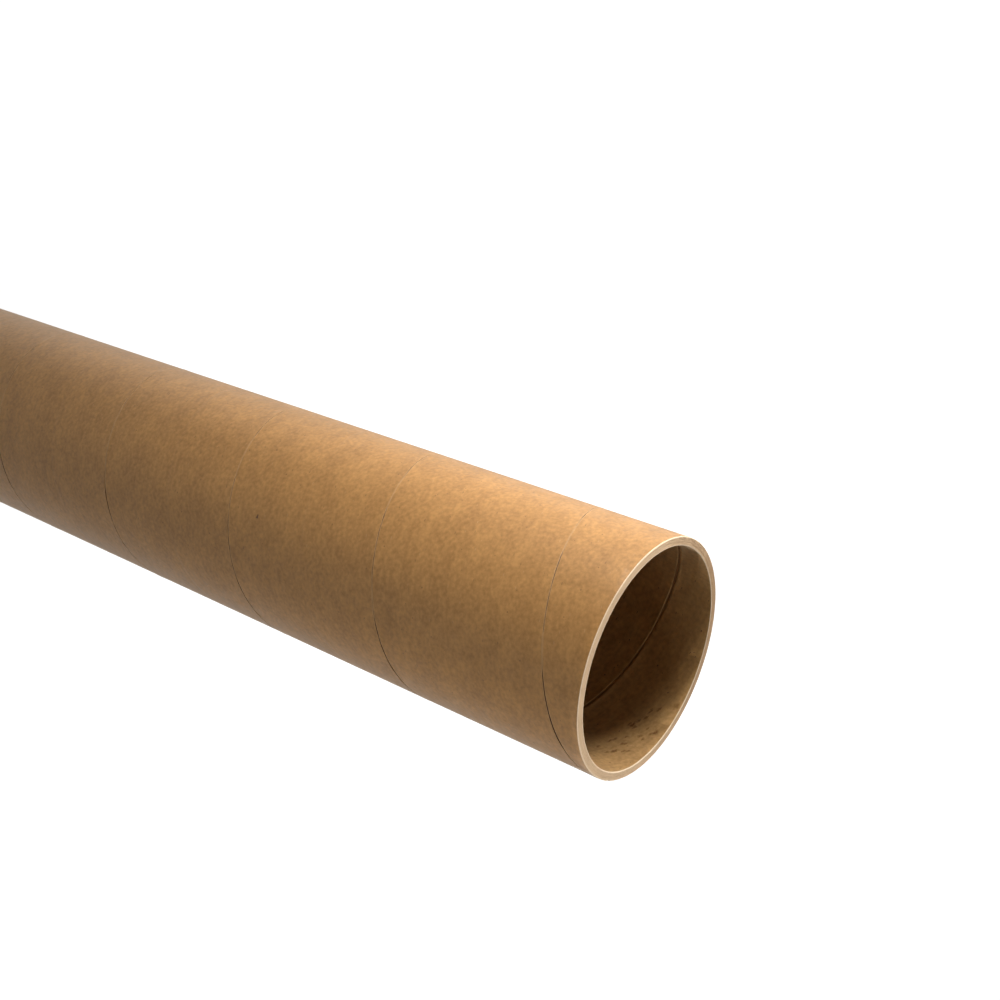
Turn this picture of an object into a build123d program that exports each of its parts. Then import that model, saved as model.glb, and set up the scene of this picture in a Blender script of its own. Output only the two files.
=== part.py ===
"""A spiral-wound paperboard mailing tube, open at both ends, standing on one end.

Strips of kraft board, the plies, are wound edge to edge round a mandrel and glued into one wall. The
edges of the outermost ply meet in a helical butt seam on the outside, and those of the innermost ply
meet in another in the bore. Both climb right-handed, at the same pitch. The wall is wound longer than
the tube and then cut to length, which leaves two square rims with slightly bevelled edges.

Frame: millimetres, +Z up along the tube's axis, origin at the centre of the lower rim.
"""

import os
from math import ceil, pi, sqrt

from build123d import *

# Driving dimensions, in millimetres
bore_diameter = 100.0
wall = 4.0
tube_length = 640.0
rim_bevel = 0.3  # where the knife crushes the board at both edges of each rim
ply_width = 88.0  # across the strip, which sets how far a seam climbs in a turn
ply_thickness = 0.5  # so a seam is a groove this deep
seam_gap = 0.5  # between the two edges of a ply where they butt
outer_seam_drop = 1.4  # from the upper rim down to the outer seam, on the +X side
inner_seam_drop = 53.7  # from the upper rim down to the inner seam, on the +X side

# Sizes that follow from them
bore_radius = bore_diameter / 2
outer_radius = bore_radius + wall
outer_girth = 2 * pi * outer_radius
winding_pitch = ply_width * outer_girth / sqrt(outer_girth**2 - ply_width**2)

# The wall as it is wound
seam_overrun = 5.0  # the least that a seam runs on past each rim, into the part that is cut off
trimmed_length = winding_pitch + 2 * seam_overrun  # wound past each end of the tube, and cut off
cut_clearance = 2.0  # how far the cut that takes off an end reaches past the wall, all round


def seam_line(radius, drop):
    """The helix that a butt seam follows, from below the lower rim to above the upper one.

    Args:
        radius: of the surface that the seam lies in.
        drop: from the upper rim down to where the seam crosses the +X side.

    Returns:
        The helix, which starts where the seam crosses the +X side for the last time before it ends.
    """
    turns_below = ceil((tube_length - drop + seam_overrun) / winding_pitch)
    start = tube_length - drop - turns_below * winding_pitch
    height = tube_length + seam_overrun - start
    return Helix(pitch=winding_pitch, height=height, radius=radius, center=(0, 0, start))


with BuildPart() as tube:
    # The wall as it comes off the mandrel, longer than the tube at both ends. Its sketch turns so that
    # the line where each round face closes lies on the +Y side, where no seam runs out through a rim.
    wound_end = Plane(origin=(0, 0, -trimmed_length), x_dir=(0, 1, 0), z_dir=(0, 0, 1))
    with BuildSketch(wound_end) as wound_section:
        Circle(outer_radius)
        Circle(bore_radius, mode=Mode.SUBTRACT)
    extrude(amount=tube_length + 2 * trimmed_length)

    # The butt seams of the outermost and the innermost ply, each a groove one ply deep
    for seam_radius, seam_drop in ((outer_radius, outer_seam_drop), (bore_radius, inner_seam_drop)):
        with BuildLine() as seam:
            seam_line(seam_radius, seam_drop)
        with BuildSketch(Plane(seam.line @ 0, x_dir=(1, 0, 0), z_dir=seam.line % 0)) as seam_section:
            Rectangle(2 * ply_thickness, seam_gap)
        sweep(is_frenet=True, mode=Mode.SUBTRACT)

    # Cut to length at both ends, which leaves a square rim with two bevelled edges on each
    for rim_height, outward in ((0, -1), (tube_length, 1)):
        bevel_foot = rim_height - outward * (rim_bevel + cut_clearance)
        past_the_end = rim_height + outward * (trimmed_length + cut_clearance)
        with BuildSketch(Plane.YZ) as offcut_section:
            with BuildLine():
                Polyline(
                    (bore_radius - cut_clearance, bevel_foot),
                    (bore_radius + rim_bevel, rim_height),
                    (outer_radius - rim_bevel, rim_height),
                    (outer_radius + cut_clearance, bevel_foot),
                    (outer_radius + cut_clearance, past_the_end),
                    (bore_radius - cut_clearance, past_the_end),
                    close=True,
                )
            make_face()
        revolve(axis=Axis.Z, mode=Mode.SUBTRACT)

tube.part.label = "tube"

os.makedirs("parts", exist_ok=True)
export_step(tube.part, "parts/tube.step")
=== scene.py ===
"""The looks of a spiral-wound paperboard mailing tube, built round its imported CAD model.

The tube stands on one end, open at both. Its skin is one mesh, wound as the real one is: each bare ply
is a strip that climbs in a helix, and its edges meet in a butt seam that runs out through both rims.
The paper, the bore's paper and the cut board of the rims are three finishes made of shader nodes.

Lengths are in metres, in the frame of the CAD model: +Z up along the tube's axis, with the origin at
the centre of the lower rim.
"""

import logging
import math
from dataclasses import dataclass, field
from enum import Enum

import bmesh
import bpy
import numpy as np
from mathutils import Matrix, Vector


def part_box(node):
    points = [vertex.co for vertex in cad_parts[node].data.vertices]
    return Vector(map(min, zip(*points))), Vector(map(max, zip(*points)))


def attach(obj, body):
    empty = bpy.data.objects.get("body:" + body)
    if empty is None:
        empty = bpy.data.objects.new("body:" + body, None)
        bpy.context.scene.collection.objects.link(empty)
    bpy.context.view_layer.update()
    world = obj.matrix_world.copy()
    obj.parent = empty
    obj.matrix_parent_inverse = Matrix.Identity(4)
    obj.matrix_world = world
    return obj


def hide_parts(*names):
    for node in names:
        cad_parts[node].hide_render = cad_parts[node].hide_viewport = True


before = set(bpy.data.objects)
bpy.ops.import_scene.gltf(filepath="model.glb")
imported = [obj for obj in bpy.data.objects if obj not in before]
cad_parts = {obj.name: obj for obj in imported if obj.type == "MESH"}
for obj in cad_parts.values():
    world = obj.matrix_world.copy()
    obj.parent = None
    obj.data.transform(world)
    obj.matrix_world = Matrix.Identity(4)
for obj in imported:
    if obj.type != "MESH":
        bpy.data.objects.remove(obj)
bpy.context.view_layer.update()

MILLIMETRE = 0.001
TURN = 2 * math.pi
PLY_UV = "ply"  # metres along and across the paper
BAKE_UV = "OFBake"  # every face in a place of its own

Pair = tuple[float, float]
Triple = tuple[float, float, float]
Colour = tuple[float, float, float, float]
Vert = bmesh.types.BMVert

log = logging.getLogger("mailing_tube")


def shade(red: int, green: int, blue: int) -> Colour:
    """The linear colour, opaque, of a colour as a screen shows it, from 0 to 255."""
    values = (red / 255, green / 255, blue / 255)
    return (*(v / 12.92 if v <= 0.04045 else ((v + 0.055) / 1.055) ** 2.4 for v in values), 1.0)


def tinted(colour: Colour, factors: Triple) -> Colour:
    """Multiplies a colour's channels by three factors, and keeps it opaque."""
    return (colour[0] * factors[0], colour[1] * factors[1], colour[2] * factors[2], 1.0)


def put(name: str, data: bpy.types.ID) -> bpy.types.Object:
    """Puts a mesh, a light or a camera into the scene.

    Args:
        name: the object's name.
        data: what it shows.

    Returns:
        The new object.
    """
    thing = bpy.data.objects.new(name, data)
    bpy.context.scene.collection.objects.link(thing)
    return thing


def angle_of(point: Vector) -> float:
    """The angle of a point round from the +X side, from 0 to a whole turn."""
    return math.atan2(point.y, point.x) % TURN


class Signal:
    """What one shader socket gives out. Its operators add Math nodes to the same tree."""

    def __init__(self, board: "Board", socket: bpy.types.NodeSocket | None) -> None:
        """Wraps a node's output on the board, or none if the node has no output."""
        self.board = board
        self.socket = socket

    def _math(self, operation: str, *terms: "Signal | float") -> "Signal":
        """Adds one Math node, with the terms in its sockets in their order."""
        return self.board.add("ShaderNodeMath", {"operation": operation}, dict(enumerate(terms)))

    def __add__(self, other: "Signal | float") -> "Signal":
        """Adds two values."""
        return self._math("ADD", self, other)

    def __sub__(self, other: "Signal | float") -> "Signal":
        """Takes a value from the signal."""
        return self._math("SUBTRACT", self, other)

    def __rsub__(self, other: float) -> "Signal":
        """Takes the signal from a plain number, as in 1 - mask."""
        return self._math("SUBTRACT", other, self)

    def __mul__(self, other: "Signal | float") -> "Signal":
        """Multiplies two values."""
        return self._math("MULTIPLY", self, other)

    __radd__ = __add__
    __rmul__ = __mul__

    def larger(self, other: "Signal | float") -> "Signal":
        """The larger of two values."""
        return self._math("MAXIMUM", self, other)

    def size(self) -> "Signal":
        """The value without its sign."""
        return self._math("ABSOLUTE", self)

    def fraction(self) -> "Signal":
        """What is left of the value after its whole part."""
        return self._math("FRACT", self)

    def ease(self, start: float, end: float) -> "Signal":
        """A smooth mask, 0 where the value is start and 1 where it is end, above or below it."""
        sockets = {"Value": self, "From Min": start, "From Max": end, "To Min": 0.0, "To Max": 1.0}
        return self.board.add("ShaderNodeMapRange", {"interpolation_type": "SMOOTHSTEP"}, sockets)


class Board:
    """One node tree, on which every node comes from one method."""

    def __init__(self, tree: bpy.types.NodeTree) -> None:
        """Takes over an empty or fresh node tree."""
        self.tree = tree
        self.tree.nodes.clear()

    @classmethod
    def for_material(cls, name: str) -> tuple[bpy.types.Material, "Board"]:
        """Makes a new material.

        Args:
            name: the finish's name.

        Returns:
            The material, and the board of its node tree.
        """
        material = bpy.data.materials.new(name)
        material.use_nodes = True
        return material, cls(material.node_tree)

    def add(
        self,
        kind: str,
        settings: dict[str, object] | None = None,
        sockets: dict[str | int, object] | None = None,
        output: str | int = 0,
    ) -> Signal:
        """Adds one node.

        Args:
            kind: the node's type.
            settings: its settings, which are set first.
            sockets: each input's value or signal, by name or number.
            output: the output that the result comes from.

        Returns:
            The signal of that output.
        """
        node = self.tree.nodes.new(kind)
        for key, value in (settings or {}).items():
            setattr(node, key, value)
        for key, value in (sockets or {}).items():
            if isinstance(value, Signal):
                self.tree.links.new(value.socket, node.inputs[key])
            else:
                node.inputs[key].default_value = value
        return Signal(self, node.outputs[output] if len(node.outputs) else None)

    def vector_math(self, operation: str, *terms: object, output: str = "Vector") -> Signal:
        """Adds one Vector Math node. Its output is Value for a length or a dot product."""
        return self.add("ShaderNodeVectorMath", {"operation": operation}, dict(enumerate(terms)), output)

    def other(self, signal: Signal, output: str | int) -> Signal:
        """Gives another output of the node that a signal comes from."""
        return Signal(self, signal.socket.node.outputs[output])

    def object_place(self) -> Signal:
        """The place on the part in metres."""
        return self.add("ShaderNodeTexCoord", output="Object")

    def stretch(self, place: Signal, along: float, turn: float) -> Signal:
        """A place with its first axis multiplied by along, turned about the third one, in radians."""
        sockets = {"Vector": place, "Scale": (along, 1.0, 1.0), "Rotation": (0.0, 0.0, turn)}
        return self.add("ShaderNodeMapping", {"vector_type": "POINT"}, sockets)

    def noise(
        self, place: Signal, size: float, detail: float = 2.0, rough: float = 0.5, output: str | int = 0
    ) -> Signal:
        """Soft noise about 0.5, with lumps of a size in metres. The output Color holds three of them."""
        sockets = {"Vector": place, "Scale": 1 / size, "Detail": detail, "Roughness": rough}
        return self.add("ShaderNodeTexNoise", {"noise_dimensions": "3D"}, sockets, output)

    def blend(self, mask: Signal | float, low: Signal | Colour, high: Signal | Colour) -> Signal:
        """Mixes two colours, all of the second one where the mask is 1."""
        settings = {"data_type": "RGBA", "blend_type": "MIX", "clamp_factor": True}
        return self.add("ShaderNodeMix", settings, {0: mask, 6: low, 7: high}, output=2)

    def bump(self, height: Signal, strength: float = 1.0) -> Signal:
        """Turns a height in millimetres over the surface into a bent normal."""
        sockets = {"Strength": strength, "Distance": MILLIMETRE, "Height": height}
        return self.add("ShaderNodeBump", sockets=sockets)

    def mix(self, share: Signal, first: Signal, second: Signal) -> Signal:
        """Mixes two shaders, all of the second one where the share is 1."""
        return self.add("ShaderNodeMixShader", sockets={0: share, 1: first, 2: second})

    def close(self, surface: Signal) -> None:
        """Joins the finished shader to the material's output."""
        self.add("ShaderNodeOutputMaterial", sockets={"Surface": surface})


@dataclass(frozen=True)
class Grain:
    """One layer of soft noise in the paper."""

    size: float  # of its lumps, in metres
    along: float  # below 1 draws the lumps out along the ply
    detail: float = 2.0  # how many finer layers it has
    rough: float = 0.5  # how strong those are
    turn: float = 0.0  # of the lumps against the ply, in radians

    def lay(self, board: Board, place: Signal) -> Signal:
        """Adds the layer, as values round 0."""
        stretched = board.stretch(place, self.along, self.turn)
        return board.noise(stretched, self.size, self.detail, self.rough) - 0.5


@dataclass(frozen=True)
class Flecks:
    """One kind of separate flecks in the paper, one in each of some scattered cells."""

    spacing: float  # from one cell to the next, in metres
    size: float  # of the largest, in metres from its middle to its edge
    share: float  # of the cells that hold one
    along: float  # below 1 draws them out along the ply
    turn: float  # of the flecks against the ply, in radians
    smallest: float = 0.35  # the smallest fleck's share of the largest one's size
    soft_edge: float = 0.4  # the share of its size over which a fleck fades out
    onset: float = 0.98  # near 1, so that a cell holds a whole fleck or none

    def lay(self, board: Board, place: Signal) -> Signal:
        """Adds the flecks.

        Args:
            board: the finish's board.
            place: the place on the paper.

        Returns:
            A mask, 1 in the middle of a fleck.
        """
        cells = board.add(
            "ShaderNodeTexVoronoi",
            {"voronoi_dimensions": "2D", "feature": "F1"},
            {"Vector": board.stretch(place, self.along, self.turn), "Scale": 1 / self.spacing},
        )
        chance = board.add("ShaderNodeSeparateColor", sockets={0: board.other(cells, "Color")})
        scale = self.smallest + (1 - self.smallest) * board.other(chance, 1)
        reach = self.size / self.spacing * scale
        inside = (reach - cells).ease(0.0, self.soft_edge * self.size / self.spacing)
        return inside * chance.ease(1 - self.share, 1 - self.onset * self.share)


# What both papers are made of
LUMPS = Grain(0.0019, 0.95, detail=3.0)
WISPS = Grain(0.0055, 0.8, turn=0.9)
CLOUDS = Grain(0.015, 0.7)
STREAKS = Grain(0.0017, 0.06)
TORN_EDGE = Grain(0.0012, 0.5, detail=3.0, rough=0.65)
FELT = Grain(0.0006, 0.5, rough=0.6)
SWELL = Grain(0.0028, 0.6)
SLIVERS = Flecks(0.0042, 0.00026, 0.34, along=0.26, turn=0.35)
CRUMBS = Flecks(0.0075, 0.00042, 0.30, along=0.8, turn=-0.4)
THREADS = Flecks(0.0031, 0.00016, 0.45, along=0.16, turn=-0.3)


@dataclass(frozen=True)
class Stain:
    """A dark mark on one of the papers."""

    angle: float  # degrees round from the +X side
    depth: float  # millimetres below the upper rim
    length: float  # millimetres along the ply
    width: float  # millimetres across it
    strength: float = 0.7


@dataclass(frozen=True)
class PaperFinish:
    """Unbleached kraft paper, wound with its grain along the ply."""

    name: str
    pale: Colour
    deep: Colour
    shive: Colour  # the dark slivers of bark and bundles of fibre
    fibre: Colour  # the light ones
    stain: Colour
    gap: Colour  # what shows at the bottom of the seam: the ply beneath and its glue, darkened further as painted shade in the groove
    ply: "BarePly"
    stains: tuple[Stain, ...] = ()
    lumps: float = 1.9  # how much each layer makes the paper lighter and darker
    wisps: float = 1.0
    clouds: float = 1.0
    streaks: float = 0.14
    shives: float = 0.55  # how strong the dark slivers are
    threads: float = 0.35  # how strong the light ones are
    fray_and_highlight: float = 0.25  # how strong the loosened fibres beside the seam are, partly a painted highlight on its edges
    fray_highlight_start: float = 0.0001  # where they are thickest, in metres from the ply's edge
    fray_highlight_end: float = 0.0006  # where they end
    fray_highlight_sway: float = 0.0009  # how far they wander
    roughness: float = 0.52
    roughness_spread: float = 0.25
    gloss: float = 0.30
    fuzz: float = 0.5  # the sheen of the fine fibres that stand up from the paper
    fuzz_roughness: float = 0.4
    fuzz_tint: Colour = (1.0, 0.90, 0.76, 1.0)
    felt_height: float = 0.022  # millimetres, of the finest bumps
    swell_height: float = 0.05  # millimetres, of the soft ones
    sliver_height: float = 0.02  # millimetres, of the dark slivers
    stain_grain: float = 0.0013  # the size of the lumps in a stain's outline
    stain_sway: Triple = (0.0034, 0.0022, 0.0)  # how far they move it
    stain_start: float = 0.3  # where a stain fades, as a share of its half size
    stain_end: float = 1.45  # where it ends

    def marks(self, board: Board, place: Signal) -> Signal | float:
        """Adds the stains, each an uneven blot that is longer along the ply.

        Args:
            board: the finish's board.
            place: the place on the paper.

        Returns:
            A mask, up to 1 in a stain.
        """
        sway = board.noise(place, self.stain_grain, 3.0, 0.6, output="Color")
        centred = board.vector_math("SUBTRACT", sway, (0.5, 0.5, 0.5))
        moved = board.vector_math("MULTIPLY_ADD", centred, self.stain_sway, place)
        total: Signal | float = 0.0
        for stain in self.stains:
            height = self.ply.length - stain.depth * MILLIMETRE
            middle = (*self.ply.on_strip(math.radians(stain.angle), height), 0.0)
            scale = (2 / MILLIMETRE / stain.length, 2 / MILLIMETRE / stain.width, 0.0)
            scaled = board.vector_math("MULTIPLY", board.vector_math("SUBTRACT", moved, middle), scale)
            reach = board.vector_math("LENGTH", scaled, output="Value")
            total = (reach.ease(self.stain_end, self.stain_start) * stain.strength).larger(total)
        return total

    def seam_masks(self, board: Board, place: Signal) -> tuple[Signal, Signal]:
        """Finds the seam's gap, and the ply's torn edges beside it, which are lighter partly as a
        painted highlight.

        Args:
            board: the finish's board.
            place: the place on the paper.

        Returns:
            A mask of the gap's bottom, and one of the loosened fibres and painted highlight along the
            edges.
        """
        half_width = self.ply.width / 2
        half_gap = self.ply.gap / 2
        across = board.add("ShaderNodeSeparateXYZ", sockets={0: place}, output="Y")
        from_edge = half_width - (across - half_width).size()
        gap = from_edge.ease(0.98 * half_gap, 0.80 * half_gap)
        edge_reach = from_edge + TORN_EDGE.lay(board, place) * self.fray_highlight_sway
        return gap, edge_reach.ease(half_gap + self.fray_highlight_end, half_gap + self.fray_highlight_start)

    def material(self) -> bpy.types.Material:
        """Makes the paper's material.

        Returns:
            The material.
        """
        material, board = Board.for_material(self.name)
        place = board.add("ShaderNodeUVMap", {"uv_map": PLY_UV})
        tone: Signal | float = 0.5
        strengths = (self.lumps, self.wisps, self.clouds, self.streaks)
        for grain, strength in zip((LUMPS, WISPS, CLOUDS, STREAKS), strengths):
            tone = tone + grain.lay(board, place) * strength
        colour = board.blend(tone, self.deep, self.pale)
        dark = SLIVERS.lay(board, place).larger(CRUMBS.lay(board, place))
        colour = board.blend(THREADS.lay(board, place) * self.threads, colour, self.fibre)
        colour = board.blend(dark * self.shives, colour, self.shive)
        colour = board.blend(self.marks(board, place), colour, self.stain)
        gap, frayed_and_highlit = self.seam_masks(board, place)
        # Lighter beside the seam: loosened fibres, and partly a painted highlight on the ply's edges
        colour = board.blend(frayed_and_highlit * self.fray_and_highlight, colour, self.fibre)
        # The bottom of the seam: the ply beneath and its glue, partly painted shade in the groove
        colour = board.blend(gap, colour, self.gap)

        felt = FELT.lay(board, place)
        swell = SWELL.lay(board, place)
        height = felt * self.felt_height + swell * self.swell_height + dark * self.sliver_height
        surface = board.add(
            "ShaderNodeBsdfPrincipled",
            sockets={
                "Base Color": colour,
                "Roughness": self.roughness + swell * self.roughness_spread,
                "Specular IOR Level": self.gloss,
                "Sheen Weight": self.fuzz,
                "Sheen Roughness": self.fuzz_roughness,
                "Sheen Tint": self.fuzz_tint,
                "Normal": board.bump(height),
            },
        )
        board.close(surface)
        return material


@dataclass(frozen=True)
class BoardFinish:
    """The cut face of the board at a rim, where the plies show as fine rings."""

    name: str
    pale: Colour
    deep: Colour
    glue: Colour  # the lines between the plies
    core: Colour  # the plies in the middle of the wall
    frayed_and_highlit: Colour  # the loosened fibres along both edges, and partly a painted highlight on the bevels
    painted_shade: Colour  # painted shade, darker on one side of the rim
    ply_thickness: float
    bore_radius: float
    wall: float
    ring_grain: float = 0.0003  # the size of the finest rings
    ring_drift: float = 0.013  # how much they change round the rim
    patch_grain: float = 0.006
    fluff_grain: float = 0.0007
    glue_strength: float = 0.5
    core_strength: float = 0.75
    painted_shade_strength: float = 0.62
    painted_shade_angle: float = 120.0  # where the painted shade is darkest, in degrees round from the +X side
    fray_and_highlight_strength: float = 0.8
    roughness: float = 0.85
    gloss: float = 0.25
    ring_height: float = 0.05  # millimetres
    fluff_height: float = 0.06  # millimetres
    glue_depth: float = 0.03  # millimetres
    relief: float = 0.8  # how much of these bumps shows

    def material(self) -> bpy.types.Material:
        """Makes the cut board's material.

        Returns:
            The material.
        """
        material, board = Board.for_material(self.name)
        place = board.object_place()
        flat = board.vector_math("MULTIPLY", place, (1.0, 1.0, 0.0))
        radius = board.vector_math("LENGTH", flat, output="Value")
        direction = board.vector_math("NORMALIZE", flat)
        upwards = board.add("ShaderNodeCombineXYZ", sockets={"Z": radius})
        drift = (self.ring_drift, self.ring_drift, 0.0)
        ringwise = board.vector_math("MULTIPLY_ADD", direction, drift, upwards)
        rings = board.noise(ringwise, self.ring_grain, 3.0, 0.6) - 0.5
        patches = board.noise(place, self.patch_grain) - 0.5
        fluff = board.noise(place, self.fluff_grain, 3.0, 0.6) - 0.5
        colour = board.blend(0.5 + rings * 0.9 + patches * 0.5 + fluff * 0.5, self.deep, self.pale)

        # From the middle of the wall outwards both ways, 1 at its surfaces
        from_middle = (radius - (self.bore_radius + self.wall / 2)).size() * (2 / self.wall)
        core = (from_middle + fluff * 0.2).ease(0.78, 0.62)
        colour = board.blend(core * self.core_strength, colour, self.core)

        # A glue line after each whole ply, broken into patches
        plies = (radius - self.bore_radius) * (1 / self.ply_thickness) + patches * 0.3
        from_line = ((plies + 0.5).fraction() - 0.5).size()
        line = from_line.ease(0.16, 0.03) * patches.ease(-0.15, 0.1)
        colour = board.blend(line * self.glue_strength, colour, self.glue)

        # Painted shade: one side of the rim is darker, as if less light fell there
        turned = math.radians(self.painted_shade_angle)
        shaded_way = (math.cos(turned), math.sin(turned), 0.0)
        facing = board.vector_math("DOT_PRODUCT", direction, shaded_way, output="Value")
        painted_shade_mask = (facing + patches * 0.5 + fluff * 0.3).ease(-0.15, 0.95)
        colour = board.blend(painted_shade_mask * self.painted_shade_strength, colour, self.painted_shade)
        # Lighter along both edges: loosened fibres, and partly a painted highlight on the bevels
        edge = (from_middle + fluff * 0.25).ease(0.80, 0.97)
        colour = board.blend(edge * self.fray_and_highlight_strength, colour, self.frayed_and_highlit)

        height = rings * self.ring_height + fluff * self.fluff_height - line * self.glue_depth
        surface = board.add(
            "ShaderNodeBsdfPrincipled",
            sockets={
                "Base Color": colour,
                "Roughness": self.roughness,
                "Specular IOR Level": self.gloss,
                "Normal": board.bump(height, self.relief),
            },
        )
        board.close(surface)
        return material


class Side(Enum):
    """Which way a bare ply faces."""

    OUTSIDE = 1
    BORE = -1


# How far rows lie outside the gap, and how high they stand as a share of the lip
LIP_ROWS = ((0.0, 0.3), (0.00022, 1.0), (0.0009, 0.45), (0.0028, 0.0))
# The same round the line that prints through, and as a share of its depth
PRINT_ROWS = ((-0.0022, 0.2), (-0.0009, -0.3), (-0.0002, -1.0), (0.0006, 0.5), (0.0022, 0.2))
# How far the plain rows lie above the seam
PLAIN_ROWS = (0.009, 0.018, 0.028, 0.038, 0.058, 0.068, 0.078)
# The fewest and the most waves of a seam's edges in a turn, and how strong they are
EDGE_WAVES = ((4, 7, 0.5), (11, 17, 0.3), (29, 43, 0.2), (60, 80, 0.15))


@dataclass
class BarePly:
    """The outermost or the innermost ply: a strip whose edges meet in a helical butt seam."""

    side: Side
    radius: float
    pitch: float  # how far the seam climbs in a turn
    drop: float  # from the upper rim down to the seam, on the +X side
    length: float  # of the tube
    gap: float  # where the seam lies most open
    depth: float
    columns: int = 192  # in a turn
    spare: float = 0.004  # wound past each end, and cut off
    floor_share: float = 0.72  # of the gap's width, at its bottom
    lip: float = 0.00007  # how far the ply's edges stand proud beside the seam
    print_through: float = 0.00005  # the shallow line over the seam of the ply beneath
    print_place: float = 0.52  # where that lies, as a share of the pitch
    swell: float = 0.00009  # how far the wall is from round
    steepest: float = 14.0  # how much that turns at most as it climbs, in radians a metre
    closed: float = 1.0  # the share of the gap where the seam lies tightest
    open_angle: float = math.radians(5)  # where it lies most open, round from the +X side
    opens_from: float = 0.05  # the cosine of the angle off there at which it starts to open
    opens_over: float = 0.75  # how much more that cosine is where it is fully open
    edge_sway: float = 0.45  # how far the edges wander, in half gaps
    lip_sway: float = 0.7  # how much of its height the lip gains and loses
    upper_shift: float = 9.0  # makes the upper edge wander on its own, in radians
    seed: int = 3
    waves: list[tuple[int, float, float]] = field(init=False)
    edge_waves: list[Triple] = field(init=False)
    base: float = field(init=False)

    def __post_init__(self) -> None:
        """Draws the seeded waves of the wall and of the seam's edges."""
        draw = np.random.default_rng(self.seed)
        self.waves = [
            (lobes, draw.uniform(-self.steepest, self.steepest), draw.uniform(0, TURN))
            for lobes in (2, 3, 5, 7)
        ]
        self.edge_waves = [
            (draw.uniform(low, high), draw.uniform(0, TURN), weight) for low, high, weight in EDGE_WAVES
        ]
        self.base = self.length - self.drop

    @property
    def slope(self) -> float:
        """The angle at which the seam climbs, in radians."""
        return math.atan(self.pitch / (TURN * self.radius))

    @property
    def width(self) -> float:
        """How wide the ply is, from edge to edge."""
        return self.pitch * math.cos(self.slope)

    def rows(self) -> list[Pair]:
        """Lists the rows of points across the strip.

        Returns:
            For each row how far it is from the lower seam, and how high it stands.
        """
        half = self.gap / 2
        edge = [(0.0, -self.depth), (half * self.floor_share, -self.depth)]
        edge += [(half + across, self.lip * up) for across, up in LIP_ROWS]
        middle = self.pitch * self.print_place
        body = [(middle + across, self.print_through * up) for across, up in PRINT_ROWS]
        body += [(across, 0.0) for across in PLAIN_ROWS]
        far_edge = [(self.pitch - across, up) for across, up in reversed(edge)]
        return edge + sorted(body) + far_edge

    def sway(self, turned: float) -> float:
        """How uneven the seam's edge is at an angle, about -1 to 1."""
        return sum(weight * math.sin(rate * turned + start) for rate, start, weight in self.edge_waves)

    def opening(self, turned: float) -> float:
        """Finds how far the seam is open.

        Args:
            turned: the angle.

        Returns:
            The share of the gap that is left there.
        """
        facing = (math.cos(turned - self.open_angle) - self.opens_from) / self.opens_over
        share = min(max(facing, 0.0), 1.0)
        return self.closed + (1 - self.closed) * share * share * (3 - 2 * share)

    def roundness(self, angle: float, height: float) -> float:
        """How far the wall is from round at a place, in metres."""
        waves = (math.sin(n * angle + climb * height + start) / n for n, climb, start in self.waves)
        return self.swell * sum(waves)

    def on_strip(self, angle: float, height: float) -> Pair:
        """Where a place on the wall lies along and across the strip, in metres."""
        turned = angle + TURN * math.floor((height - self.base) / self.pitch - angle / TURN)
        return self.unrolled(turned, height - self.base - self.pitch * turned / TURN)

    def unrolled(self, turned: float, across: float) -> Pair:
        """Turns an angle and a height over the seam into metres along and across the strip."""
        along = turned * self.radius / math.cos(self.slope) + across * math.sin(self.slope)
        return along, across * math.cos(self.slope)

    def point(self, turned: float, across: float, up: float) -> Triple:
        """Places a point of the wound strip, with the wander of the seam's edges.

        Args:
            turned: its angle, in radians, which goes on past a whole turn.
            across: how far it is above the lower seam.
            up: how high it stands over the ply.

        Returns:
            The point.
        """
        half = self.gap / 2
        lower = across < self.pitch / 2
        from_seam = across if lower else self.pitch - across
        sway = self.sway(turned if lower else turned + TURN + self.upper_shift)
        if from_seam < 10 * half:  # the rows further off stay where they are
            move = (self.opening(turned) - 1) * min(from_seam, half)
            if half * 0.5 < from_seam < half * 1.5:  # the rows of the edge itself
                move += half * self.edge_sway * sway
            across += move if lower else -move
        if up > 0.0:
            up *= 1.0 + self.lip_sway * sway
        height = self.base + across + self.pitch * turned / TURN
        radius = self.radius + self.side.value * up + self.roundness(turned, height)
        return (radius * math.cos(turned), radius * math.sin(turned), height)

    def wind(self, mesh: bmesh.types.BMesh, material: int, bake_left: float) -> None:
        """Adds the wound strip to a mesh, a little longer than the tube at both ends.

        Args:
            mesh: what it is added to.
            material: the number of its finish.
            bake_left: where its flat sheet starts in the bake layout, in metres.
        """
        ply_uv = mesh.loops.layers.uv[PLY_UV]
        bake_uv = mesh.loops.layers.uv[BAKE_UV]
        rows = self.rows()
        first = math.floor((-self.base - self.pitch - self.spare) / self.pitch * self.columns)
        last = math.ceil((self.drop + self.spare) / self.pitch * self.columns)
        grid: dict[tuple[int, int], Vert] = {}
        for column in range(first, last + 1):
            for number, (across, up) in enumerate(rows[:-1]):
                point = self.point(TURN * column / self.columns, across, up)
                grid[column, number] = mesh.verts.new(point)

        top_row = len(rows) - 1
        for column in range(first, last):
            for number in range(top_row):
                corners = [(0, 0), (1, 0), (1, 1), (0, 1)][:: self.side.value]  # backwards in the bore
                verts = []
                for right, above in corners:
                    place = (column + right, number + above)
                    if number + above == top_row:
                        place = (column + right + self.columns, 0)
                    verts.append(grid.get(place))
                if None in verts:
                    continue
                face = mesh.faces.new(verts)
                face.material_index = material
                for loop, (right, above) in zip(face.loops, corners):
                    turned = TURN * (column + right) / self.columns
                    across = rows[number + above][0]
                    loop[ply_uv].uv = self.unrolled(turned, across)
                    share = (column % self.columns + right) / self.columns
                    flat_height = self.base + across + self.pitch * turned / TURN
                    loop[bake_uv].uv = (bake_left + share * TURN * self.radius, flat_height)


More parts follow.
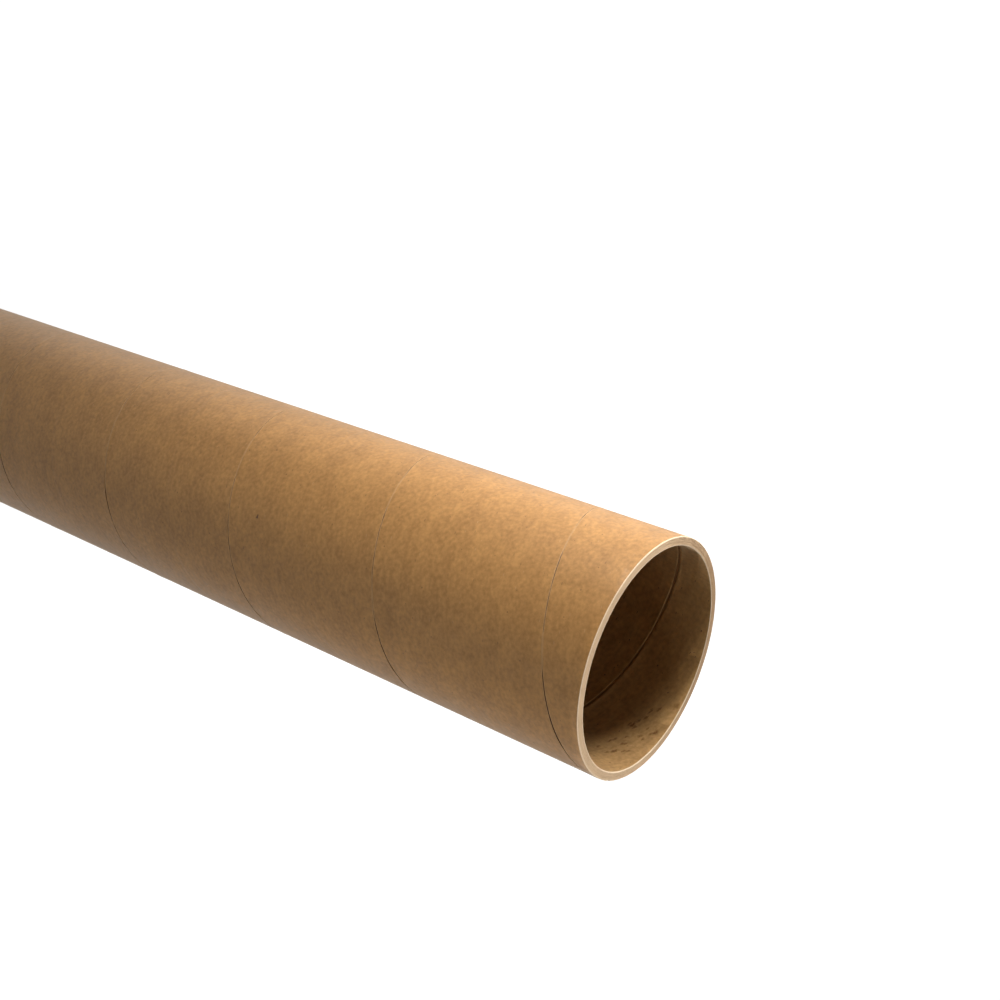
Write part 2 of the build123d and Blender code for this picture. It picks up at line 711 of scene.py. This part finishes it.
@dataclass
class BakeLayout:
    """The square on which every face of the tube has a place, in metres."""

    side: float = 0.676
    margin: float = 0.004
    rim_width: float = 0.320
    rim_stretch: float = 2.4  # the rims get more room than their size
    rim_base: float = 0.6512  # of a rim's outer edge
    lift: float = 0.004  # of the whole layout, as a share of the square

    def rim_place(self, upper: bool, share: float, inwards: float) -> Pair:
        """A point of a rim, by its share of the way round and its way in from the outer edge."""
        left = self.margin if upper else 2 * self.margin + self.rim_width
        return left + share * self.rim_width, self.rim_base + inwards * self.rim_stretch


@dataclass
class CutRim:
    """One rim: the cut board between the open edges of the two plies."""

    tube: "WoundTube"
    mesh: bmesh.types.BMesh  # the tube's skin, cut off at both ends
    upper: bool
    groove: float = 0.00005  # how deep the lines between the plies are
    groove_half: float = 0.00006  # from the middle of such a line to its edge
    burr: float = 0.00007  # how far the knife pushed the innermost ply up
    least_step: float = 0.000012  # from one ring of the mesh to the next
    unevenness: float = 0.00003
    scatter: float = 0.8  # of single points, as a share of it
    bevel_scatter: float = 0.32  # the same on the first ring
    waves: int = 9
    drop: float = 0.00001  # of the uneven cut under the CAD model's rim
    peak: float = 0.00002  # the most that it rises over that
    near: float = 0.00001  # how far a point of the cut may lie from its height
    finish: int = 1  # the number of its finish
    seed: int = 11
    height: float = field(init=False)
    outward: int = field(init=False)
    middle: float = field(init=False)

    def __post_init__(self) -> None:
        """Works out where the rim lies, and the radius of the wall's middle."""
        self.height = self.tube.length if self.upper else 0.0
        self.outward = 1 if self.upper else -1
        self.middle = self.tube.bore_radius + self.tube.wall / 2

    def profile(self, side: Side) -> list[Pair]:
        """Lists the rings of one half, from the wall's surface to its middle.

        Args:
            side: the half next to the outside or next to the bore.

        Returns:
            For each ring how far it is from the surface, and how far below the cut.
        """
        bevel = self.tube.rim_bevel
        burr = self.burr
        ply = self.tube.ply_thickness
        if side is Side.OUTSIDE:
            rings = [(bevel * 0.35, bevel * 0.42), (bevel * 0.75, bevel * 0.1), (bevel * 1.15, 0.0)]
        else:
            rings = [(bevel * 0.3, bevel * 0.3), (bevel * 0.75, -burr * 0.4), (bevel * 1.4, -burr)]
            rings += [(bevel * 2.1, -burr * 0.7), (bevel * 3.0, -burr * 0.1)]
        lines = round(self.tube.wall / ply / 2)
        for line in range(1 if side is Side.OUTSIDE else 2, lines):
            rings.append((line * ply - self.groove_half, 0.0))
            rings.append((line * ply, self.groove))
            rings.append((line * ply + self.groove_half, 0.0))
        return rings + [(lines * ply - self.groove_half, 0.0)]

    def cut_edge(self, side: Side) -> list[Vert]:
        """Collects the open edge that the cut left in one of the plies.

        Args:
            side: the ply.

        Returns:
            The edge's points, in order of their angle.
        """
        cut = self.height - self.outward * self.tube.rim_bevel
        found = set()
        for edge in self.mesh.edges:
            if len(edge.link_faces) == 1:
                found.update(vert for vert in edge.verts if abs(vert.co.z - cut) < self.near)
        chosen = [vert for vert in found if (vert.co.xy.length > self.middle) == (side is Side.OUTSIDE)]
        return sorted(chosen, key=lambda vert: angle_of(vert.co))

    def rings(self, side: Side) -> list[list[Vert]]:
        """Adds the rings of one half.

        Args:
            side: the half.

        Returns:
            The rings, the ply's open edge first.
        """
        draw = np.random.default_rng(self.seed + side.value + 4 * self.upper)
        waves = [(draw.integers(2, 40), draw.uniform(0, TURN)) for _ in range(self.waves)]
        surface = self.middle + side.value * self.tube.wall / 2
        rings = [self.cut_edge(side)]
        for inwards, below in self.profile(side):
            ring = []
            for vert in rings[-1]:
                angle = angle_of(vert.co)
                before = side.value * (surface - vert.co.xy.length)
                radius = surface - side.value * max(inwards, before + self.least_step)
                wave = sum(math.sin(lobes * angle + start) for lobes, start in waves) / self.waves
                scatter = draw.uniform(-1, 1) * (self.scatter if len(rings) > 1 else self.bevel_scatter)
                uneven = max(self.unevenness * (wave + scatter), -self.peak)
                height = self.height - self.outward * (below + uneven + self.drop)
                point = (radius * math.cos(angle), radius * math.sin(angle), height)
                ring.append(self.mesh.verts.new(point))
            rings.append(ring)
        return rings

    def face(self, verts: list[Vert], wraps: bool) -> None:
        """Adds one face, with its place on the paper and in the bake layout.

        Args:
            verts: its corners, in order for the upper rim.
            wraps: True where the face closes the ring.
        """
        ply_uv = self.mesh.loops.layers.uv[PLY_UV]
        bake_uv = self.mesh.loops.layers.uv[BAKE_UV]
        face = self.mesh.faces.new(verts[:: self.outward])
        face.material_index = self.finish
        for loop in face.loops:
            point = loop.vert.co
            share = angle_of(point) / TURN
            if wraps and share < 0.5:
                share += 1.0
            outwards = point.xy.length - self.middle
            fold = -math.copysign(point.z - self.height, outwards)
            inwards = self.tube.wall / 2 - outwards + fold
            loop[ply_uv].uv = (share * TURN * self.middle, point.xy.length)
            loop[bake_uv].uv = self.tube.layout.rim_place(self.upper, share, inwards)

    def close(self) -> None:
        """Builds the rim's two halves, and joins them."""
        last = []
        for side in Side:
            rings = self.rings(side)
            for before, after in zip(rings, rings[1:]):
                for here in range(len(before)):
                    there = (here + 1) % len(before)
                    verts = [before[here], before[there], after[there], after[here]]
                    self.face(verts[:: side.value], there == 0)
            last.append(rings[-1])
        self.zip_up(last)

    def zip_up(self, rings: list[list[Vert]]) -> None:
        """Joins two rings whose points lie at different angles, with triangles.

        Args:
            rings: the outer one and the inner one, each in order of angle.
        """
        angles = []
        for ring in rings:
            turned = [angle_of(vert.co) for vert in ring]
            angles.append(turned + [TURN + turned[0], math.inf])
        at = [0, 0]
        while at != [len(rings[0]), len(rings[1])]:
            corners = [ring[place % len(ring)] for ring, place in zip(rings, at)]
            side = 0 if angles[0][at[0] + 1] <= angles[1][at[1] + 1] else 1
            at[side] += 1
            corners.insert(1, rings[side][at[side] % len(rings[side])])
            self.face(corners, any(place >= len(ring) for ring, place in zip(rings, at)))


@dataclass
class WoundTube:
    """The tube's whole skin: two bare plies and the two cut rims, as one closed mesh."""

    name: str = "wound_tube"
    length: float = 0.640
    bore_radius: float = 0.050
    wall: float = 0.004
    ply_width: float = 0.088
    ply_thickness: float = 0.0005
    outer_gap: float = 0.000625  # of the outer seam where it lies most open
    outer_depth: float = 0.00035
    outer_closed: float = 0.26  # the share of that where it lies tightest
    bore_gap: float = 0.0011
    bore_depth: float = 0.000085
    outer_seam_drop: float = 0.0014
    inner_seam_drop: float = 0.0537
    rim_bevel: float = 0.0003
    cut_tolerance: float = 0.000001
    sharp_angle: float = 38.0  # in degrees, from which an edge is drawn sharp
    layout: BakeLayout = field(default_factory=BakeLayout)
    outer_ply: BarePly = field(init=False)
    bore_ply: BarePly = field(init=False)

    def __post_init__(self) -> None:
        """Works out the two bare plies from the tube's sizes."""
        outer_radius = self.bore_radius + self.wall
        girth = TURN * outer_radius
        pitch = self.ply_width * girth / math.sqrt(girth**2 - self.ply_width**2)
        shared = {"pitch": pitch, "length": self.length}
        self.outer_ply = BarePly(
            Side.OUTSIDE,
            outer_radius,
            drop=self.outer_seam_drop,
            gap=self.outer_gap,
            depth=self.outer_depth,
            closed=self.outer_closed,
            **shared,
        )
        self.bore_ply = BarePly(
            Side.BORE,
            self.bore_radius,
            drop=self.inner_seam_drop,
            gap=self.bore_gap,
            depth=self.bore_depth,
            seed=8,
            **shared,
        )

    def skin(self) -> bpy.types.Mesh:
        """Builds the tube's closed mesh.

        Returns:
            The mesh, with both layouts.
        """
        mesh = bmesh.new()
        mesh.loops.layers.uv.new(PLY_UV)
        mesh.loops.layers.uv.new(BAKE_UV)
        margin = self.layout.margin
        self.outer_ply.wind(mesh, 0, margin)
        self.bore_ply.wind(mesh, 2, 2 * margin + TURN * self.outer_ply.radius)
        for height, facing in ((self.rim_bevel, -1), (self.length - self.rim_bevel, 1)):
            bmesh.ops.bisect_plane(
                mesh,
                geom=list(mesh.verts) + list(mesh.edges) + list(mesh.faces),
                dist=self.cut_tolerance,
                plane_co=(0.0, 0.0, height),
                plane_no=(0.0, 0.0, facing),
                clear_outer=True,
            )
        for upper in (True, False):
            CutRim(self, mesh, upper).close()
        bake_uv = mesh.loops.layers.uv[BAKE_UV]
        for face in mesh.faces:
            face.smooth = True
            for loop in face.loops:
                loop[bake_uv].uv = loop[bake_uv].uv / self.layout.side + Vector((0.0, self.layout.lift))
        data = bpy.data.meshes.new(self.name)
        mesh.to_mesh(data)
        mesh.free()
        data.set_sharp_from_angle(angle=math.radians(self.sharp_angle))
        return data

    def build(self) -> bpy.types.Object:
        """Builds and dresses the tube, and puts it in the CAD node's place.

        Returns:
            The piece.
        """
        data = self.skin()
        for finish in self.finishes():
            data.materials.append(finish.material())
        piece = put(self.name, data)
        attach(piece, "root")
        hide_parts("tube")
        return piece

    def finishes(self) -> list[PaperFinish | BoardFinish]:
        """Lists the tube's finishes.

        Returns:
            The finishes, in the order of their numbers.
        """
        kraft = shade(188, 137, 78)
        bore = shade(186, 144, 90)
        outside = PaperFinish(
            name="kraft_paper",
            pale=tinted(kraft, (1.21, 1.23, 1.27)),
            deep=tinted(kraft, (0.79, 0.77, 0.73)),
            shive=shade(108, 72, 42),
            fibre=shade(218, 182, 136),
            stain=shade(78, 50, 28),
            gap=shade(92, 62, 35),
            ply=self.outer_ply,
            stains=OUTER_SPECKS,
        )
        board = BoardFinish(
            name="cut_board",
            pale=shade(240, 214, 180),
            deep=shade(212, 182, 148),
            glue=shade(158, 122, 86),
            core=shade(200, 168, 132),
            # loosened fibres, and partly a painted highlight on the rim's edges
            frayed_and_highlit=shade(245, 223, 191),
            # the colour of the painted shade on one side of the rim
            painted_shade=shade(134, 100, 66),
            ply_thickness=self.ply_thickness,
            bore_radius=self.bore_radius,
            wall=self.wall,
        )
        inside = PaperFinish(
            name="bore_paper",
            pale=tinted(bore, (1.24, 1.26, 1.30)),
            deep=tinted(bore, (0.76, 0.74, 0.70)),
            shive=shade(84, 56, 34),
            fibre=shade(200, 166, 120),
            stain=shade(112, 72, 32),
            gap=shade(150, 110, 66),
            ply=self.bore_ply,
            stains=BORE_STAINS,
            lumps=1.52,
            wisps=0.8,
            streaks=0.6,
            shives=0.75,
            fuzz=0.2,
            roughness=0.72,
            gloss=0.18,
        )
        return [outside, board, inside]


def stain_table(*rows: tuple[float, ...]) -> tuple[Stain, ...]:
    """Makes stains from rows of numbers, in the order of a stain's fields."""
    return tuple(Stain(*row) for row in rows)


# Dark specks in the outer paper
OUTER_SPECKS = stain_table(
    (-84.1, 186.1, 2.0, 1.4, 0.95), (-120.1, 196.7, 1.2, 0.9, 0.6), (-114.7, 210.5, 1.1, 0.9, 0.5),
    (-118.5, 191.4, 1.0, 0.8, 0.4),
)

# The brown marks that the mandrel left near the mouth of the bore
BORE_STAINS = stain_table(
    (28.2, 20.0, 2.9, 1.4), (26.7, 14.2, 2.9, 1.3), (30.2, 12.5, 4.3, 1.8, 0.9),
    (33.3, 9.4, 2.9, 1.4), (34.9, 7.8, 2.6, 1.4), (38.2, 12.9, 2.4, 1.3), (39.2, 11.8, 2.9, 1.4),
    (37.0, 18.3, 2.9, 1.3), (39.3, 17.3, 2.9, 1.3), (43.9, 13.9, 2.2, 1.1), (52.3, 17.1, 2.9, 1.4),
    (52.8, 15.5, 3.4, 1.6, 0.9), (52.1, 14.0, 2.2, 1.3), (56.7, 14.2, 2.4, 1.3),
    (59.9, 12.1, 2.9, 1.4), (64.2, 12.1, 3.6, 1.4), (67.1, 9.0, 2.9, 1.3),
    (53.9, 4.1, 3.4, 1.8, 0.85), (51.9, 5.6, 2.4, 1.3), (47.9, 9.0, 2.4, 1.3),
    (47.0, 7.0, 1.9, 1.1), (54.4, 8.4, 1.7, 1.0), (72.1, 2.4, 3.6, 2.7, 0.6), (17.2, 7.9, 1.4, 1.1),
)


@dataclass(frozen=True)
class Lamp:
    """One soft square lamp of the studio, aimed at a point of the tube's axis."""

    name: str
    azimuth: float  # degrees round from the +X side
    elevation: float  # degrees above the point that it is aimed at
    distance: float
    side: float
    level: float  # at that point, where 1 shows a colour as it is written

    def build(self, aim: Vector) -> bpy.types.Object:
        """Builds the lamp.

        Args:
            aim: the point that it is aimed at.

        Returns:
            The lamp's object.
        """
        azimuth = math.radians(self.azimuth)
        elevation = math.radians(self.elevation)
        flat = math.cos(elevation)
        away = Vector((math.cos(azimuth) * flat, math.sin(azimuth) * flat, math.sin(elevation)))
        data = bpy.data.lights.new(self.name, "AREA")
        data.shape = "SQUARE"
        data.size = self.side
        data.energy = math.pi**2 * self.distance**2 * self.level
        lamp = put(self.name, data)
        lamp.location = aim + away * self.distance
        lamp.rotation_mode = "QUATERNION"
        lamp.rotation_quaternion = (-away).to_track_quat("-Z", "Y")
        lamp.visible_camera = False
        return lamp


# A key and weaker ones round the mouth, one above it and one behind
LAMPS = (
    Lamp("key", 162.0, 15.0, 0.50, 0.13, 0.80),
    Lamp("side", -150.0, -1.0, 0.38, 0.20, 0.90),
    Lamp("sheen", 152.0, -24.0, 0.60, 0.24, 0.05),
    Lamp("fill", -18.0, 8.0, 0.36, 0.16, 0.20),
    Lamp("skirt", -42.0, -24.0, 0.80, 0.40, 0.05),
    Lamp("top", 0.0, 90.0, 3.50, 0.16, 0.68),
    Lamp("back", 84.0, -12.0, 0.90, 0.45, 0.42),
)


@dataclass
class Studio:
    """The pale floor, the lamps, the plain world and the camera."""

    tube_length: float
    floor_half: float = 9.0
    floor_depth: float = 0.00006  # the floor lies this far under the lower rim
    world_level: float = 0.028
    lift_foot: float = 0.20  # added to the floor where the tube hides all of its sky, a painted contact shadow round its foot
    lift_near: float = 0.80  # added to the floor near the tube, where the camera sees it
    lift_far: float = 1.0  # the same where the lamps hardly reach
    lift_from: float = 0.1
    lift_to: float = 1.1
    contact_reach: float = 0.25  # how far off the tube the painted contact shadow reaches
    aim_drop: float = 0.02  # the lamps are aimed this far below the upper rim
    lens: float = 49.446  # millimetres, on a sensor 36 mm wide
    camera_back: float = 0.5293  # from the tube's axis
    camera_rise: float = 0.2478  # over the upper rim

    def seen_directly(self, board: Board) -> Signal:
        """A mask for what the camera, a reflection or a clear material sees.

        Args:
            board: the board that it is added to.

        Returns:
            The mask, 1 for such rays.
        """
        camera = board.add("ShaderNodeLightPath", output="Is Camera Ray")
        glossy = board.other(camera, "Is Glossy Ray")
        clear = board.other(camera, "Is Transmission Ray")
        return camera.larger(glossy).larger(clear)

    def floor(self) -> bpy.types.Object:
        """Builds the floor.

        Returns:
            The floor.
        """
        half = self.floor_half
        sides = ((-half, -half), (half, -half), (half, half), (-half, half))
        data = bpy.data.meshes.new("pale_floor")
        data.from_pydata([(x, y, -self.floor_depth) for x, y in sides], [], [(0, 1, 2, 3)])
        material, board = Board.for_material("floor_paint")
        paint = {"Base Color": shade(146, 146, 146), "Roughness": 0.9, "Specular IOR Level": 0.1}
        plain = board.add("ShaderNodeBsdfPrincipled", sockets=paint)
        place = board.object_place()
        far = board.vector_math("LENGTH", place, output="Value").ease(self.lift_from, self.lift_to)
        # Painted contact shadow: the floor glows less where the tube hides its sky
        reach = {"Distance": self.contact_reach}
        open_sky = board.add("ShaderNodeAmbientOcclusion", {"samples": 8}, reach, "AO")
        levels = (self.lift_foot, self.lift_near, self.lift_far)
        glows = [board.add("ShaderNodeEmission", sockets={"Strength": level}) for level in levels]
        glow = board.mix(far, board.mix(open_sky, glows[0], glows[1]), glows[2])
        lifted = board.add("ShaderNodeAddShader", sockets={0: plain, 1: glow})
        board.close(board.mix(self.seen_directly(board), plain, lifted))
        data.materials.append(material)
        floor = put("pale_floor", data)
        return floor

    def world(self) -> None:
        """Makes the world dim and even, and white where the camera sees it."""
        world = bpy.data.worlds.new("plain_room")
        world.use_nodes = True
        board = Board(world.node_tree)
        white = (1.0, 1.0, 1.0, 1.0)
        skies = [
            board.add("ShaderNodeBackground", sockets={"Color": white, "Strength": level})
            for level in (self.world_level, 1.0)
        ]
        sky = board.mix(self.seen_directly(board), *skies)
        board.add("ShaderNodeOutputWorld", sockets={"Surface": sky})
        bpy.context.scene.world = world

    def lamps(self) -> list[bpy.types.Object]:
        """Builds the lamps, all aimed at the mouth."""
        mouth = Vector((0.0, 0.0, self.tube_length - self.aim_drop))
        return [lamp.build(mouth) for lamp in LAMPS]

    def camera(self) -> None:
        """Builds the camera at the photograph's viewing angle."""
        data = bpy.data.cameras.new("camera")
        data.lens = self.lens
        data.dof.use_dof = False
        camera = put("camera", data)
        right = Vector((-0.3665, 0.4901, 0.7909))
        up = Vector((-0.9280, -0.2542, -0.2725))
        ahead = Vector((-0.0675, 0.8338, -0.5480))
        turn = Matrix((right, up, -ahead)).transposed()
        place = Matrix.Translation((0.0, -self.camera_back, self.tube_length + self.camera_rise))
        camera.matrix_world = place @ turn.to_quaternion().to_matrix().to_4x4()
        bpy.context.scene.camera = camera


def main() -> None:
    """Builds the tube and the studio, and reports each piece."""
    logging.basicConfig(level=logging.INFO, format="%(name)s: %(message)s")
    lowest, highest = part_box("tube")
    tube = WoundTube(length=highest.z - lowest.z)
    piece = tube.build()
    triangles = sum(len(face.vertices) - 2 for face in piece.data.polygons)
    log.info("%s: %d faces, %d triangles", piece.name, len(piece.data.polygons), triangles)

    studio = Studio(tube_length=tube.length)
    studio.camera()
    studio.world()
    log.info("%s: half side %.1f m", studio.floor().name, studio.floor_half)
    for lamp in studio.lamps():
        log.info("%s: %.2f W", lamp.name, lamp.data.energy)
    bpy.context.scene.view_settings.view_transform = "Standard"


if __name__ == "__main__":
    main()
